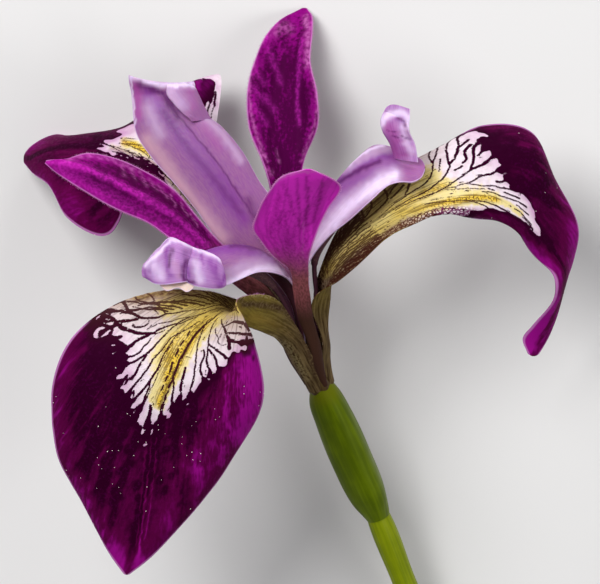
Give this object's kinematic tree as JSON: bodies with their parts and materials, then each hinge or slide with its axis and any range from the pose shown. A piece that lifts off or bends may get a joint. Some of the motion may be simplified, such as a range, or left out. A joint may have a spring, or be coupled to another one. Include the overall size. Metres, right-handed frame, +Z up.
{
  "type": "iris flower",
  "caption": "Cut beardless iris flower lying on its back: drooping veined falls, upright standards, arched style arms, ovary and a length of stem.",
  "frame": {"origin": "centre of the bounding box in X and Y, on the surface the flower lies on", "axes": "+Z up from the surface, +Y from the stem's cut end towards the top of the bloom, +X to the flower's right as seen from above its face"},
  "size_m": [0.0812, 0.1126, 0.0485],
  "materials": {
    "fall": "velvety petal, dark purple with a white and yellow veined signal",
    "standard": "satiny petal, magenta purple",
    "style": "waxy petal-like style, pale lilac with a darker keel",
    "anther": "powdery cream",
    "tube": "satin reddish brown plant skin",
    "green": "satin green plant skin"
  },
  "bodies": {
    "root": {"fall_front": "fall", "fall_right": "fall", "fall_back": "fall", "standard_front": "standard", "standard_left": "standard", "standard_back": "standard", "style_arm_front": "style", "style_arm_right": "style", "style_arm_back": "style", "stamen_front": "anther", "stamen_right": "anther", "stamen_back": "anther", "perianth_tube": "tube", "ovary": "green", "stem": "green"}
  },
  "joints": []
}
